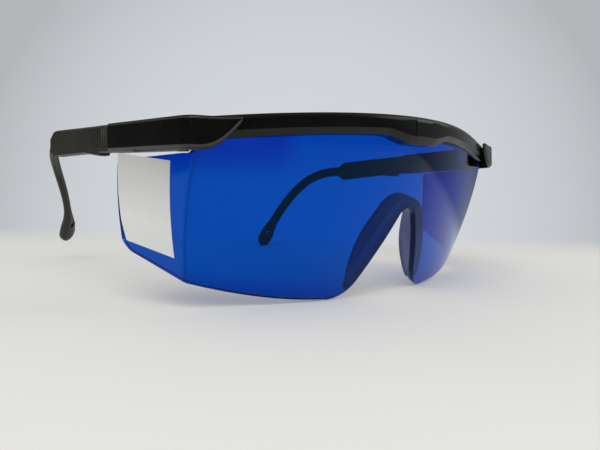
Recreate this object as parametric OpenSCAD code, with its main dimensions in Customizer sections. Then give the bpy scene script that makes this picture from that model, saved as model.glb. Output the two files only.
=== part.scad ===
/* [Front] */
// Half the width over the two corners of the front
half_width = 75; // [71:0.5:80]
// How far the corners sit behind the middle of the bar
wrap_depth = 20; // [17:0.5:23]
// How far the corners sit below the middle of the bar
bar_arch = 5.6; // [4:0.2:7]

/* [Brow bar] */
// Height of the bar away from the nose
bar_height = 6.1; // [5.8:0.1:7]
// Extra height of the bar over the nose
bar_dip = 2.5; // [1:0.1:3.2]
// Half the width of the deeper stretch over the nose
bar_dip_half = 17; // [14:0.5:20]
// Depth of the bar from front to back
bar_depth = 6.2; // [5.6:0.1:7.5]
// Bevel along the upper front edge of the bar
bar_bevel = 1.2; // [0.6:0.1:1.6]
// How far the lower front facet of the bar slopes back
bar_undercut = 1.2; // [0.6:0.1:1.6]
// Half the length of the bar
bar_half_length = 67; // [65:0.5:68]
// Thickness of the bar's end in front of the hinge
bar_end_wall = 2; // [1.6:0.1:2.1]

/* [Lens] */
// Thickness of the lens
lens_thickness = 2.2; // [1.8:0.1:2.4]
// Distance of the lens behind the front face of the bar
lens_setback = 2.2; // [2:0.1:2.6]
// Depth of the lens below the middle of the bar's top
lens_depth = 57.6; // [54:0.2:60]
// How far the lowest edge lies behind the middle of the bar
lens_lean = 15.4; // [13:0.2:17]
// How far the bottom corners lie behind the lowest edge
lens_wrap = 16.3; // [14:0.2:18]
// Rise of the bottom edge towards the corners
lens_rise = 7.5; // [5:0.25:9]
// Outward bow of the pane between its top and bottom
lens_bow = 2.95; // [2:0.05:3.5]
// Outward bow of the corners between their top and bottom
corner_bow = 2; // [1:0.1:2.4]
// Width lost by each half of the pane from corner top to corner bottom
lens_taper = 3.5; // [2:0.1:5]
// How far the lens goes up into the bar
groove_depth = 2.2; // [1.6:0.1:2.8]
// Length of each side shield
shield_length = 31.6; // [28:0.2:34]
// Radius of the fold between pane and shield
fold_radius = 2.6; // [2:0.1:3.5]

/* [Nose] */
// Depth of the nose notch's top below the top of the bar
notch_top = 28.8; // [26:0.2:31]
// Radius of the notch's top
notch_radius = 4.5; // [3.5:0.1:5.5]
// Angle of the notch's sides from level
notch_slope = 62.7; // [58:0.1:66]
// How far the nose flange reaches back at the middle of each side
flange_depth = 3.8; // [3:0.2:5]
// How far the nose flange reaches back at the top of the notch
flange_top_depth = 2.6; // [2:0.2:4]
// How far the flange leans upwards at the top of the notch
flange_flare = 3.2; // [2:0.2:3.6]
// Thickness of the nose flange at its rear edge
flange_thickness = 1.9; // [1.6:0.1:2.2]
// Extra thickness of the nose flange at its root
flange_root = 1.8; // [1:0.1:2.2]

/* [Temple hinges] */
// Distance of the lens-angle axis behind the middle of the bar
pitch_back = 25.8; // [25.6:0.1:26.4]
// Distance of the lens-angle axis below the middle of the bar's top
pitch_down = 8.9; // [8.7:0.1:9.2]
// Radius of the discs round the lens-angle pin
pitch_disc_radius = 2.7; // [2.6:0.1:3]
// Radius of the lens-angle pin
pitch_pin_radius = 1; // [0.9:0.1:1.2]
// Turn of one click of the lens-angle ratchet, in degrees
click_angle = 3.9; // [3.5:0.1:4.1]
// Click that the right temple is set to, counted upwards
right_click = 0; // [0:1:2]
// Click that the left temple is set to, counted upwards
left_click = -1; // [-1:1:2]
// Thickness of the lug and of the disc beside it
lug_thickness = 2.4; // [2:0.1:2.4]
// Distance of the fold pin inside the temple's outer face
fold_pin_in = 5; // [4.8:0.1:5.2]
// Radius of the fold pin
fold_pin_radius = 1; // [0.8:0.1:1.2]
// Radius of the knuckle round the fold pin
knuckle_radius = 2.5; // [2.2:0.1:2.7]
// Radius of the pins' heads
head_radius = 1.8; // [1.6:0.1:2]
// Height of the pins' heads
head_height = 0.6; // [0.4:0.1:0.8]

/* [Temple sleeve] */
// Height of the sleeve
sleeve_height = 8.8; // [8.6:0.1:9]
// Thickness of the sleeve from face to face
sleeve_width = 5.6; // [5.4:0.1:6]
// Distance of the sleeve's top below the middle of the bar's top
sleeve_down = 4.8; // [4.6:0.1:5]
// Distance of the sleeve's mouth behind the fold pin
sleeve_reach = 31.8; // [29:0.2:34]
// Outward lean of the temples, in degrees
temple_splay = 1.55; // [0.5:0.05:2]
// Thickness of the sleeve's outer wall and of the wing
sleeve_wall = 1.4; // [1.2:0.1:1.5]
// Half width at which the wing's tip lies
wing_tip = 60.3; // [59:0.1:62]
// Gap between the wing and the face of the bar
wing_gap = 0.85; // [0.75:0.05:1.1]
// Bevel along the lower edge of sleeve and wing
sleeve_bevel = 1; // [0.6:0.1:1.2]

/* [Ear piece] */
// Height of the slider outside the sleeve
slider_height = 8.4; // [7.8:0.1:8.5]
// Thickness of the slider outside the sleeve
slider_width = 3.8; // [3.4:0.1:4]
// Length of the slider from the sleeve's mouth to its step
slider_length = 41.8; // [38:0.2:45]
// Height of the blade inside the sleeve
blade_height = 5.2; // [4.6:0.1:5.4]
// Thickness of the blade inside the sleeve
blade_width = 2.8; // [2.4:0.1:2.8]
// Length of the blade inside the sleeve
blade_length = 23; // [20:0.5:24]
// Distance between the index notches, one click of the slide
index_pitch = 4; // [3.5:0.1:4.5]
// How far the finger tab stands below the slider
tab_height = 1; // [0.8:0.1:1.4]
// Length of the finger tab
tab_length = 10; // [8:0.5:12]
// How far the hook reaches back behind the slider's step
hook_reach = 46.4; // [44:0.2:48]
// How far the hook's end lies below its start
hook_drop = 38.8; // [37:0.2:41]
// How far the hook's end lies inwards of its start
hook_in = 20.9; // [19:0.1:23]
// Thickness of the hook
hook_thickness = 2.7; // [2.4:0.1:3.2]
// Width of the hook behind the step
hook_width = 4.7; // [4.4:0.1:5.2]
// Width of the paddle at the hook's end
paddle_width = 7.4; // [6.6:0.1:8]
// Thickness of the paddle
paddle_thickness = 4.2; // [3.4:0.1:4.6]
// Radius of the cord hole in the paddle
cord_hole_radius = 1.1; // [0.9:0.1:1.3]

/* [Fits] */
// Clearance round the blade in the sleeve, on each side
slide_clearance = 0.15; // [0.1:0.01:0.15]
// Clearance round the pins, on the radius
pin_clearance = 0.05; // [0.03:0.01:0.08]
// Clearance round the lens in the bar's groove
groove_clearance = 0.12; // [0.08:0.01:0.2]
// Gap between faces that turn past each other
turn_gap = 0.12; // [0.1:0.01:0.15]

/* [Hidden] */

black = "#1d1e1d";
brown_black = "#34322c";
steel = "#9a9c9e";
blue = [0.05, 0.22, 0.62, 0.8];

// The part stands on the lowest edge of the lens, centred front to back.
rear_reach = 151.1;
origin_shift = [0, -rear_reach / 2, lens_depth];

// Small helpers
function unit(v) = v / norm(v);
function mix(a, b, t) = a + (b - a) * t;
function smooth(t) = let (c = min(max(t, 0), 1)) c * c * (3 - 2 * c);
function flip(v) = [-v[0], v[1], v[2]];

// Faces of a closed skin of rows, each a closed loop of n points, with capped ends
function skin_faces(rows, n) = concat(
    [for (i = [0 : rows - 2], j = [0 : n - 1])
        [i * n + j, (i + 1) * n + (j + 1) % n, i * n + (j + 1) % n]],
    [for (i = [0 : rows - 2], j = [0 : n - 1])
        [i * n + j, (i + 1) * n + j, (i + 1) * n + (j + 1) % n]],
    [for (j = [1 : n - 2]) [0, j, j + 1]],
    [for (j = [1 : n - 2]) [(rows - 1) * n, (rows - 1) * n + j + 1, (rows - 1) * n + j]]);

// Solid through a list of closed loops of points
module skin(loops) {
    polyhedron(points = [for (loop = loops) each loop],
               faces = skin_faces(len(loops), len(loops[0])), convexity = 6);
}

// Faces of a plate whose two sides are grids of rows by n points
function plate_faces(rows, n) = let (m = rows * n) concat(
    [for (i = [0 : rows - 2], j = [0 : n - 2]) each
        [[i * n + j, (i + 1) * n + j + 1, i * n + j + 1],
         [i * n + j, (i + 1) * n + j, (i + 1) * n + j + 1]]],
    [for (i = [0 : rows - 2], j = [0 : n - 2]) each
        [[m + i * n + j, m + i * n + j + 1, m + (i + 1) * n + j + 1],
         [m + i * n + j, m + (i + 1) * n + j + 1, m + (i + 1) * n + j]]],
    [for (i = [0 : rows - 2]) each
        [[i * n, m + (i + 1) * n, (i + 1) * n], [i * n, m + i * n, m + (i + 1) * n],
         [i * n + n - 1, (i + 1) * n + n - 1, m + (i + 1) * n + n - 1],
         [i * n + n - 1, m + (i + 1) * n + n - 1, m + i * n + n - 1]]],
    [for (j = [0 : n - 2]) each
        [[j, m + j + 1, m + j], [j, j + 1, m + j + 1],
         [m - n + j, 2 * m - n + j, 2 * m - n + j + 1],
         [m - n + j, 2 * m - n + j + 1, m - n + j + 1]]]);

module plate(outer, inner) {
    polyhedron(points = concat([for (row = outer) each row], [for (row = inner) each row]),
               faces = plate_faces(len(outer), len(outer[0])), convexity = 8);
}

// Front face of the bar at a distance x from the middle
function share(x) = abs(x) / half_width;
function wrap(x) = wrap_depth * (1.55 * pow(share(x), 2) - 0.55 * pow(share(x), 4));
function arch(x) = -bar_arch * pow(share(x), 2);
function bar_tall(x) = bar_height + bar_dip * (1 - smooth((abs(x) - 1) / (bar_dip_half - 1)));

// Direction straight back from the bar's front face, seen from above
function back_of(x) = let (d = 0.2, s = (wrap(x + d) - wrap(x - d)) / (2 * d)) unit([-s, 1, 0]);

// Outline of the lens: corner of the pane at the top and at the bottom
corner_top = half_width - 4.8;
corner_bottom = corner_top - lens_taper;
lowest_half = 18;
function lens_top(x) = [x, lens_setback + wrap(x), arch(x) - bar_height];
function lens_low(x) = let (s = abs(x) / corner_bottom)
    [x, lens_lean + lens_wrap * (0.87 * s * s + 0.13 * pow(s, 4)),
     -lens_depth + lens_rise * pow(max(0, (abs(x) - lowest_half) / (corner_bottom - lowest_half)), 2)];
function bow(u, t) = [corner_bow * pow(u, 3), -lens_bow * (1 - 0.85 * u * u), 0] * 4 * t * (1 - t);

// Point of the pane: u from -1 to 1 across it, t from 0 at the bar to 1 at its bottom
function pane(u, t) = mix(lens_top(corner_top * u), lens_low(corner_bottom * u), t) + bow(u, t);

// Point of the side shield: w from 0 at the fold to 1 at its rear edge
shield_out_top = 6.3;
shield_out_bottom = 6.6;
shield_drop = 20;
function shield(w, t) = let (c = pane(1, t))
    c + w * [mix(shield_out_top, shield_out_bottom, t), mix(shield_length, shield_drop, t), 0];

// Place of the lens round the right-hand half: s under 1 on the pane, over 1 on the shield
fold_u = fold_radius / corner_top;
fold_w = fold_radius / shield_length;
function half_lens(s, t) =
    s <= 1 - fold_u ? pane(s, t)
    : s >= 1 + fold_w ? shield(s - 1, t)
    : let (q = (s - 1 + fold_u) / (fold_u + fold_w), a = pane(1 - fold_u, t), b = pane(1, t),
           c = shield(fold_w, t))
      a * pow(1 - q, 2) + b * 2 * q * (1 - q) + c * q * q;
function lens_point(s, t) = s < 0 ? flip(half_lens(-s, t)) : half_lens(s, t);
function lens_normal(s, t) = let (d = 0.004)
    unit(cross(lens_point(s, t + d) - lens_point(s, t - d), lens_point(s + d, t) - lens_point(s - d, t)));
function lens_share(s, z) = let (a = lens_point(s, 0)[2], b = lens_point(s, 1)[2]) (z - a) / (b - a);

// Nose notch: its edge's height at a distance x from the middle
notch_tangent = notch_radius * sin(notch_slope);
notch_flank_top = notch_radius * (1 - cos(notch_slope));
function notch_edge(x) =
    abs(x) < notch_tangent ? -notch_top - notch_radius + sqrt(pow(notch_radius, 2) - x * x)
    : -notch_top - notch_flank_top - (abs(x) - notch_tangent) * tan(notch_slope);
notch_half = notch_tangent + (lens_depth - notch_top - notch_flank_top) / tan(notch_slope);

// Lower corners of the notch, each rounded between its side and the bottom edge
nose_round = 7;
function nose_blend(q) = let (
    x = notch_half - nose_round * cos(notch_slope), a = [x, notch_edge(x)],
    b = [notch_half, -lens_depth], c = [notch_half + nose_round, -lens_depth])
    a * pow(1 - q, 2) + b * 2 * q * (1 - q) + c * q * q;

// Lower edge of the lens as places along it, from the middle to the rear of the shield
function lens_edge() = concat(
    [for (a = [0 : 12.5 : 62.5]) let (x = notch_radius * sin(a)) [x / corner_bottom, notch_edge(x)]],
    [for (q = [0.25 : 0.25 : 0.75])
        let (x = mix(notch_tangent, nose_blend(0)[0], q)) [x / corner_bottom, notch_edge(x)]],
    [for (q = [0 : 0.25 : 1]) let (p = nose_blend(q)) [p[0] / corner_bottom, p[1]]],
    [for (i = [0 : 6]) let (x = mix(notch_half + nose_round + 1.5, corner_bottom * 0.89, i / 6))
        [x / corner_bottom, lens_low(x)[2]]]);
edge_places = lens_edge();

// Upper edge of the lens: inside the bar, then under the sleeve
under_sleeve = -sleeve_down - sleeve_height;
sleeve_clearance = 0.3;
lens_step_at = 0.945;
rear_corner = 1.2;
function lens_upper(s) =
    s < lens_step_at ? arch(s * corner_top) - bar_height + groove_depth
    : s < 1 + fold_w ? mix(arch(s * corner_top) - bar_height, under_sleeve - sleeve_clearance,
                           smooth((s - 1 + fold_u) / (fold_u + fold_w)))
    : under_sleeve - sleeve_clearance - rear_corner * pow(max(0, s - 1.92) / 0.08, 2)
      - tan(click_angle) * max(0, lens_top(corner_top)[1] + shield_length * (s - 1) - pitch_back);

// Lower edge of the shield, rising to the rear with a rounded corner
shield_lift = 0.225;
function shield_low(w) = 1 - shield_lift * w - 0.06 * pow(max(0, w - 0.85) / 0.15, 2);

function lens_columns() = concat(
    [for (e = edge_places) let (x = e[0])
        [x, lens_share(x, lens_upper(x)), lens_share(x, e[1])]],
    [for (s = [0.91, 0.94, 0.95, 1 - fold_u])
        [s, lens_share(s, lens_upper(s)), 1]],
    [for (q = [0.2 : 0.2 : 1])
        let (s = 1 - fold_u + q * (fold_u + fold_w))
        [s, lens_share(1, lens_upper(s)), mix(1, shield_low(fold_w), q)]],
    [for (w = [0.25, 0.45, 0.65, 0.8, 0.88, 0.94, 0.98, 1])
        [1 + w, lens_share(1, lens_upper(1 + w)), shield_low(w)]]);
half_columns = lens_columns();
columns = concat([for (i = [len(half_columns) - 1 : -1 : 1])
                      [-half_columns[i][0], half_columns[i][1], half_columns[i][2]]],
                 half_columns);

lens_rows = 9;
function lens_side(depth) = [for (c = columns)
    [for (j = [0 : lens_rows])
        let (t = mix(c[1], c[2], j / lens_rows)) lens_point(c[0], t) - lens_normal(c[0], t) * depth]];

// Place along the notch: q from -1 to 1, on the surface of the lens
flange_steps = 9;
function flange_place(q) = let (
    x = nose_blend(0.5)[0] * (q < 0 ? -1 : 1) * pow(abs(q), 0.85),
    z = abs(q) > 0.999 ? nose_blend(0.5)[1] : max(notch_edge(x), nose_blend(0.5)[1]))
    [x / corner_bottom, z];
function flange_edge(q, depth) = let (p = flange_place(q), t = lens_share(p[0], p[1]))
    lens_point(p[0], t) - lens_normal(p[0], t) * depth;
function flange_out(q) = let (d = 0.02, a = flange_edge(max(q - d, -1), 0),
                              b = flange_edge(min(q + d, 1), 0))
    unit(cross([0, 1, 0], [b[0] - a[0], 0, b[2] - a[2]]));
function flange_reach(q) = flange_top_depth * (1 - abs(q)) + flange_depth * sin(180 * abs(q)) + 0.4;
function flange_side(out) = [for (i = [-flange_steps : flange_steps])
    let (q = i / flange_steps, n = -flange_out(q), r = flange_reach(q),
         lean = flange_flare * pow(1 - abs(q), 1.5), a = flange_edge(q, lens_thickness * 0.4),
         k = out * flange_root)
    [a + n * (out * flange_thickness + k),
     a + n * (out * flange_thickness + k * 0.5 + 0.4 * lean) + [0, 0.5 * r + lens_thickness * 0.6, 0],
     a + n * (out * flange_thickness + lean) + [0, r + lens_thickness * 0.6, 0]]];

module lens() {
    color(blue) translate(origin_shift) union() {
        plate(lens_side(0), lens_side(lens_thickness));
        plate(flange_side(0), flange_side(1));
    }
}

// Section of the bar at x, from the rear top round the front; its ends are thinner from bar_end_step on
facet = 0.71;
bar_end_step = 2.1;
function bar_loop(x) = let (f = [x, wrap(x), arch(x)], b = back_of(x), h = bar_tall(x),
                            d = abs(x) > bar_half_length - bar_end_step ? bar_end_wall : bar_depth)
    [for (p = [[bar_bevel, 0], [0.25, -0.8], [0, -1.5], [0, -h * facet], [bar_undercut, -h],
               [d, -h], [d, -0.8], [d - 0.5, 0]])
        f + b * p[0] + [0, 0, p[1]]];
function bar_stations() = let (e = bar_half_length, f = e - bar_end_step, r = concat(
        [for (i = [0 : 7]) i * bar_dip_half / 7],
        [for (i = [1 : 10]) mix(bar_dip_half, f - 0.1, i / 10)],
        [f + 0.1, e]))
    concat([for (i = [len(r) - 1 : -1 : 1]) -r[i]], r);

// Groove that takes the lens, a little larger than the lens all round
module groove() {
    span = [for (i = [-14 : 14]) i * 1.02 / 14];
    function side(depth) = [for (s = span)
        [for (z = [arch(s * corner_top) - bar_height + groove_depth + groove_clearance,
                   arch(s * corner_top) - bar_height - bar_dip - 3])
            let (t = lens_share(s, z), m = min(max(s, -0.955), 0.955))
            lens_point(m, t) + (lens_point(s, 0) - lens_point(m, 0))
            - lens_normal(m, t) * depth]];
    plate(side(-groove_clearance), side(lens_thickness + groove_clearance));
}

// Sideways places of the hinge parts: lug, then the disc beside it
lug_from = bar_half_length - bar_end_step - 0.1 - lug_thickness;
disc_from = lug_from + lug_thickness + turn_gap;
pitch_at = [0, pitch_back, -pitch_down];
fold_behind = 3.6;
fold_at = [half_width + 0.2 - fold_pin_in, pitch_back + fold_behind, 0];

// Lug that reaches back over the lens to the lens-angle pin
module lug() {
    neck_top = -4.6;
    neck_low = arch(lug_from) - bar_height + groove_depth + 0.5;
    root = wrap(lug_from) + bar_depth - 3;
    difference() {
        translate([lug_from, 0, 0]) rotate([90, 0, 90]) linear_extrude(lug_thickness) union() {
            translate([pitch_back, -pitch_down]) circle(pitch_disc_radius, $fn = 48);
            polygon([[root, neck_top], [root, neck_low], [root + 4.4, neck_low],
                     [pitch_back - pitch_disc_radius, -pitch_down], [pitch_back, -pitch_down],
                     [pitch_back + 1, -pitch_down + pitch_disc_radius * 0.95],
                     [pitch_back - 1.5, neck_top]]);
        }
        translate([lug_from - 1, pitch_back, -pitch_down]) rotate([0, 90, 0])
            cylinder(r = pitch_pin_radius, h = lug_thickness + 2, $fn = 32);
    }
}

module brow_bar() {
    color(black) translate(origin_shift) {
        difference() {
            skin([for (x = bar_stations()) bar_loop(x)]);
            groove();
        }
        lug();
        mirror([1, 0, 0]) lug();
    }
}

// Moves a temple's pieces to their side and to the click that it is set to
module on_side(side) {
    click = side < 0 ? right_click : left_click;
    translate(origin_shift) mirror([side < 0 ? 1 : 0, 0, 0])
        translate(pitch_at) rotate([click * click_angle, 0, 0]) translate(-pitch_at) children();
}

// Frame of the temple: origin on the fold pin, y along the temple, x outwards
module on_temple() {
    translate(fold_at) rotate([0, 0, -temple_splay]) children();
}

// Lens-angle pin: head inside, shaft through the lug and the disc
module pitch_pin(side) {
    color(steel) translate(origin_shift) mirror([side < 0 ? 1 : 0, 0, 0])
        translate([lug_from, pitch_back, -pitch_down]) rotate([0, 90, 0]) {
            cylinder(r = pitch_pin_radius, h = 2 * lug_thickness + turn_gap + 0.5, $fn = 32);
            translate([0, 0, -head_height]) cylinder(r = head_radius, h = head_height, $fn = 32);
        }
}
module pitch_pin_right() { pitch_pin(-1); }
module pitch_pin_left() { pitch_pin(1); }

// Heights inside the sleeve's hinge pocket
knuckle_plate = 2;
seam = 0.1;
plate_top = -sleeve_down - seam;
plate_low = under_sleeve + seam;
pocket_top = plate_top - knuckle_plate;
pocket_low = plate_low + knuckle_plate;
arm_back = 0.9;

// Block between bar and temple: disc, arm and knuckle
module hinge_block(side) {
    knuckle_tall = pocket_top - pocket_low - 2 * turn_gap;
    color(black) on_side(side) difference() {
        union() {
            translate([disc_from, pitch_back, -pitch_down]) rotate([0, 90, 0])
                cylinder(r = pitch_disc_radius, h = lug_thickness, $fn = 48);
            translate([disc_from, fold_at[1] - knuckle_radius - 1.5, pocket_low + turn_gap])
                cube([fold_at[0] - disc_from, knuckle_radius + 1.5 - arm_back, knuckle_tall]);
            translate([fold_at[0], fold_at[1], pocket_low + turn_gap])
                cylinder(r = knuckle_radius, h = knuckle_tall, $fn = 48);
        }
        translate([disc_from - 1, pitch_back, -pitch_down]) rotate([0, 90, 0])
            cylinder(r = pitch_pin_radius + pin_clearance, h = lug_thickness + 2, $fn = 32);
        translate([fold_at[0], fold_at[1], pocket_low - 1])
            cylinder(r = fold_pin_radius + pin_clearance, h = knuckle_tall + 3, $fn = 32);
    }
}
module hinge_block_right() { hinge_block(-1); }
module hinge_block_left() { hinge_block(1); }

// Fold pin: domed head on the sleeve's top, shaft through sleeve and block
module fold_pin(side) {
    color(steel) on_side(side) translate([fold_at[0], fold_at[1], 0]) {
        translate([0, 0, plate_low + 0.4])
            cylinder(r = fold_pin_radius, h = plate_top - plate_low - 0.4, $fn = 32);
        translate([0, 0, plate_top]) rotate_extrude($fn = 48)
            polygon([[0, 0], [head_radius, 0], [head_radius, head_height * 0.5],
                     [head_radius * 0.6, head_height * 0.9], [0, head_height]]);
    }
}
module fold_pin_right() { fold_pin(-1); }
module fold_pin_left() { fold_pin(1); }

// Plan of the outer face, from the wing's tip round the corner to the sleeve's mouth
face_x = fold_pin_in;
wing_stand = wing_gap + sleeve_wall;
function splayed(p) = fold_at + [p[0] * cos(temple_splay) + p[1] * sin(temple_splay),
                                 -p[0] * sin(temple_splay) + p[1] * cos(temple_splay), 0];
function wing_point(x) = [x, wrap(x), 0] - back_of(x) * wing_stand;
bend_start = half_width - 4.4;
bend_end = splayed([face_x, wrap(half_width) - fold_at[1] + 2.2, 0]);
bend_corner = splayed([face_x, wrap(half_width) - fold_at[1] - 2.4, 0]);
function face_path() = concat(
    [for (i = [0 : 7]) wing_point(mix(wing_tip, bend_start, i / 7))],
    [for (q = [0.2 : 0.2 : 0.8])
        wing_point(bend_start) * pow(1 - q, 2) + bend_corner * 2 * q * (1 - q) + bend_end * q * q],
    [bend_end, splayed([face_x, 0, 0]), splayed([face_x, sleeve_reach / 2, 0]),
     splayed([face_x, sleeve_reach, 0])]);

// Upper and lower edge of wing and sleeve at a place across the front
wing_top = -sleeve_down;
wing_span = 11.6;
tip_top = arch(wing_tip) - 0.8;
function face_top(x) = mix(tip_top, wing_top, smooth((x - wing_tip) / (bend_start - wing_tip)));
function face_low(x) = let (q = min(1, (x - wing_tip) / wing_span))
    min(face_top(x) - 0.9, mix(wing_top, under_sleeve, 1 - pow(1 - q, 2)));

// Section of the wall at a point of the path, bevelled along its lower edge
function wall_loop(p, n) = let (top = face_top(p[0]), low = face_low(p[0]),
                                b = min(sleeve_bevel, (top - low) * 0.4))
    [for (q = [[0, top - 0.4], [0, low + b], [b * 0.8, low], [sleeve_wall, low],
               [sleeve_wall, top], [0.4, top]])
        [p[0], p[1], 0] - n * q[0] + [0, 0, q[1]]];
function path_normal(path, i) = let (a = path[max(i - 1, 0)], b = path[min(i + 1, len(path) - 1)],
                                     d = unit(b - a))
    [d[1], -d[0], 0];
face = face_path();

// Sleeve with its wing: wall, hinge plates, box round the blade's channel
module temple_sleeve(side) {
    inner_x = face_x - sleeve_width;
    channel_from = knuckle_radius + 5.2;
    color(black) on_side(side) difference() {
        union() {
            skin([for (i = [0 : len(face) - 1]) wall_loop(face[i], path_normal(face, i))]);
            on_temple() {
                for (z = [pocket_top, plate_low]) translate([0, 0, z]) {
                    cylinder(r = knuckle_radius + 0.2, h = knuckle_plate, $fn = 48);
                    translate([inner_x, 0, 0]) cube([face_x - inner_x - 0.9, channel_from, knuckle_plate]);
                    translate([0, -knuckle_radius + 0.3, 0])
                        cube([face_x - 0.9, knuckle_radius + 1, knuckle_plate]);
                }
                translate([inner_x, knuckle_radius + 0.6, plate_low])
                    cube([face_x - inner_x - 0.9, sleeve_reach - knuckle_radius - 0.7,
                          plate_top - plate_low]);
            }
        }
        on_temple() {
            translate([0, 0, under_sleeve - 1])
                cylinder(r = fold_pin_radius, h = sleeve_height + 2, $fn = 32);
            translate([blade_x - slide_clearance, channel_from, blade_z - slide_clearance])
                cube([blade_width + 2 * slide_clearance, sleeve_reach, blade_height + 2 * slide_clearance]);
            for (i = [0 : 1])
                translate([inner_x - 1, sleeve_reach - 2.4 - i * index_pitch, under_sleeve - 1])
                    cube([1.9, 1.2, 1.9]);
            translate([inner_x, sleeve_reach, under_sleeve]) rotate([0, 0, 45])
                cube([0.9, 0.9, sleeve_height * 3], center = true);
        }
    }
}
module temple_sleeve_right() { temple_sleeve(-1); }
module temple_sleeve_left() { temple_sleeve(1); }

// Places of the blade inside the sleeve
blade_x = face_x - sleeve_wall - slide_clearance - blade_width;
blade_z = -sleeve_down - 1.1 - slide_clearance - blade_height;

// Hook: middle line from the slider's step to its end, in the temple's frame
slider_top = -5;
slider_x = face_x - 0.5 - slider_width;
step_y = sleeve_reach + slider_length;
hook_start = [slider_x + slider_width / 2 - 0.3, step_y, slider_top - slider_height / 2 - 0.8];
hook_line = [for (k = [[0, 0, 0], [0.24, 0.5, 0.07], [0.38, 0.65, -0.187],
                       [0.98, 0.72, -0.508], [1, 1, -1]])
    hook_start + [-hook_in * k[0], hook_reach * k[1], hook_drop * k[2]]];
function bezier(c, t) = len(c) == 1 ? c[0]
    : bezier([for (i = [0 : len(c) - 2]) mix(c[i], c[i + 1], t)], t);
hook_lean = 25;
hook_twist = 38;
hook_sides = 16;
cap_at = 0.952;
function hook_turn(t) = -hook_lean * smooth(t / 0.35) - hook_twist * smooth((t - 0.83) / 0.11);
function flare(t) = smooth((t - 0.8) / 0.13);

// Section of the hook at t: an oval whose flat side turns near the end
function hook_ring(t) = let (
    p = bezier(hook_line, t),
    d = unit(bezier(hook_line, min(t + 0.01, 1)) - bezier(hook_line, min(t, 0.99))),
    a = unit([1, 0, 0] - d * d[0]), b = cross(d, a), turn = hook_turn(t),
    end = t > cap_at ? sqrt(max(0, 1 - pow((t - cap_at) / (1.0015 - cap_at), 2))) : 1,
    w = mix(hook_width, paddle_width, flare(t)) / 2 * end,
    h = mix(hook_thickness, paddle_thickness, smooth((t - 0.78) / 0.14)) / 2 * sqrt(end),
    u = a * cos(turn) + b * sin(turn), v = b * cos(turn) - a * sin(turn))
    [for (k = [0 : hook_sides - 1]) let (g = (k + 0.5) * 360 / hook_sides)
        p + u * h * sign(cos(g)) * pow(abs(cos(g)), 0.75) + v * w * sign(sin(g)) * pow(abs(sin(g)), 0.75)];
hook_places = concat([for (i = [0 : 21]) i * cap_at / 22],
                     [for (a = [0 : 15 : 90]) mix(cap_at, 1, sin(a))]);
cord_hole_at = 0.9;
function hook_across(t) = let (d = unit(bezier(hook_line, t + 0.01) - bezier(hook_line, t)),
                               a = unit([1, 0, 0] - d * d[0]), b = cross(d, a),
                               turn = hook_turn(t))
    a * cos(turn) + b * sin(turn);
cord_way = hook_across(cord_hole_at);

// Side outline of the slider, with the finger tab below and the step behind
slider_low = slider_top - slider_height;
tab_y = sleeve_reach + 6.5;
grip_depth = 0.07;
module slider_outline() {
    gap = 0.15;
    polygon([[sleeve_reach + gap, slider_top], [step_y - 1.5, slider_top - 0.3], [step_y, slider_top - 0.6],
             [step_y + 3.2, hook_start[2] + hook_width / 2 - 0.3],
             [step_y + 3.2, hook_start[2] - hook_width / 2 + 0.3], [step_y, slider_low - 0.7],
             [tab_y + tab_length, slider_low], [tab_y + 1, slider_low - tab_height],
             [tab_y + 0.3, slider_low - tab_height * 0.8], [tab_y, slider_low],
             [sleeve_reach + gap, slider_low]]);
}

// Section of the slider with its four long edges bevelled
module slider_section(w, h, c) {
    polygon([[c, 0], [w - c, 0], [w, -c], [w, c - h], [w - c, -h], [c, -h], [0, c - h], [0, -c]]);
}

// Ear piece: blade, slider with its index notches, hook and paddle
module ear_piece(side) {
    color(brown_black) on_side(side) on_temple() difference() {
        union() {
            translate([blade_x, sleeve_reach - blade_length, blade_z])
                cube([blade_width, blade_length + 2, blade_height]);
            intersection() {
                translate([slider_x, 0, 0]) rotate([90, 0, 90])
                    linear_extrude(slider_width) slider_outline();
                translate([slider_x, 0, slider_low - tab_height]) rotate([-90, 0, 0])
                    linear_extrude(step_y + 10)
                        slider_section(slider_width, slider_height + tab_height, 0.4);
            }
            skin([for (t = hook_places) hook_ring(t)]);
        }
        translate([blade_x - 1, sleeve_reach - blade_length - 1, blade_z + blade_height / 2 - 0.4])
            cube([blade_width + 2, blade_length / 2, 0.8]);
        for (i = [0 : 8])
            translate([slider_x - 1, sleeve_reach + 3 + i * index_pitch, slider_low - 1 - tab_height])
                cube([1.7, 1, 1.7 + tab_height]);
        for (i = [0 : 5])
            translate([slider_x + slider_width - grip_depth, sleeve_reach + 2 + i * 1.6, slider_low + 1.4])
                cube([1, 0.5, slider_height - 2.8]);
        translate(bezier(hook_line, cord_hole_at) - cord_way * 4)
            rotate([0, acos(cord_way[2]), atan2(cord_way[1], cord_way[0])])
            cylinder(r = cord_hole_radius, h = 8, $fn = 32);
    }
}
module ear_piece_right() { ear_piece(-1); }
module ear_piece_left() { ear_piece(1); }

lens();
brow_bar();
hinge_block_right();
hinge_block_left();
pitch_pin_right();
pitch_pin_left();
fold_pin_right();
fold_pin_left();
temple_sleeve_right();
temple_sleeve_left();
ear_piece_right();
ear_piece_left();
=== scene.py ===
"""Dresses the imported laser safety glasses: tinted lens, nose flange, moulded pieces, pins, bare label, stage.

The shapes are worked out in millimetres in the part's own frame, with the middle of the brow bar's top front
edge at the origin, and are moved to the row frame in metres when a mesh is made.
"""

import math

import bmesh
import bpy
import numpy as np
from bpy.props import FloatProperty, FloatVectorProperty, PointerProperty
from mathutils import Matrix


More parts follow.
